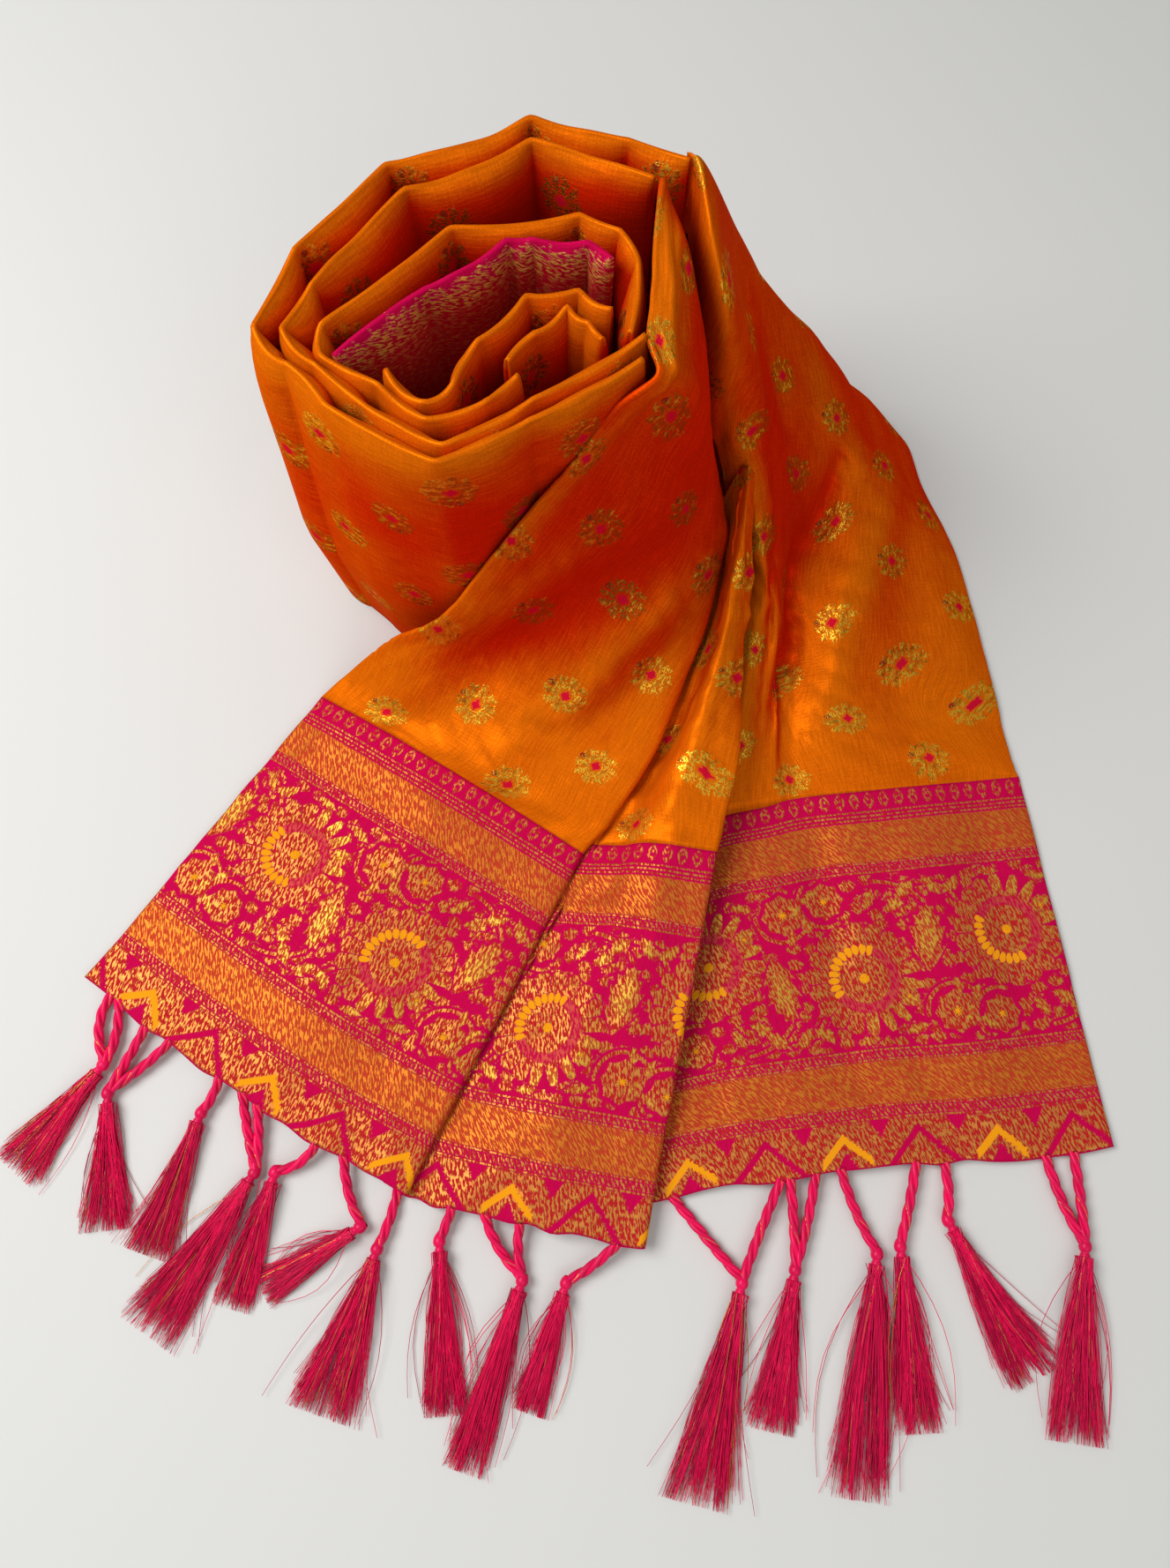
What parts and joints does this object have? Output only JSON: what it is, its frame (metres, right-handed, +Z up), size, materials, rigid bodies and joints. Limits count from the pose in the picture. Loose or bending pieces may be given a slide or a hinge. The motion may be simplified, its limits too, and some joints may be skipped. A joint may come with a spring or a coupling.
{
  "type": "saree",
  "caption": "Woven silk saree wound into an upright coil at one end and fanned out flat at the other, with a brocade end border and tied tassels.",
  "frame": {"origin": "bottom centre of the outline, on the surface that the saree lies on", "axes": "+Z up; -Y towards the tasselled end; +X to the right seen from the tassels"},
  "size_m": [0.467, 0.4854, 0.1851],
  "materials": {
    "orange_silk": "shot silk satin with small woven gold flowers",
    "pink_gold_border": "pink silk brocade with metallic gold weft",
    "pink_gold_brocade": "pink silk brocade with dense gold weft",
    "tassel_thread": "lustrous pink thread with gold strands"
  },
  "bodies": {
    "root": {"roll_turn_outer": "orange_silk", "roll_turn_second": "orange_silk", "roll_turn_third": "orange_silk", "roll_core_end": "pink_gold_brocade", "roll_fold_inner": "orange_silk", "roll_fold_eye": "orange_silk", "fall_left": "orange_silk", "border_left": "pink_gold_border", "fall_centre": "orange_silk", "border_centre": "pink_gold_border", "fall_right": "orange_silk", "border_right": "pink_gold_border", "hidden_folds": "orange_silk", "tassel_01": "tassel_thread", "tassel_02": "tassel_thread", "tassel_03": "tassel_thread", "tassel_04": "tassel_thread", "tassel_05": "tassel_thread", "tassel_06": "tassel_thread", "tassel_07": "tassel_thread", "tassel_08": "tassel_thread", "tassel_09": "tassel_thread", "tassel_10": "tassel_thread", "tassel_11": "tassel_thread", "tassel_12": "tassel_thread", "tassel_13": "tassel_thread", "tassel_14": "tassel_thread", "tassel_15": "tassel_thread", "tassel_16": "tassel_thread"}
  },
  "joints": []
}
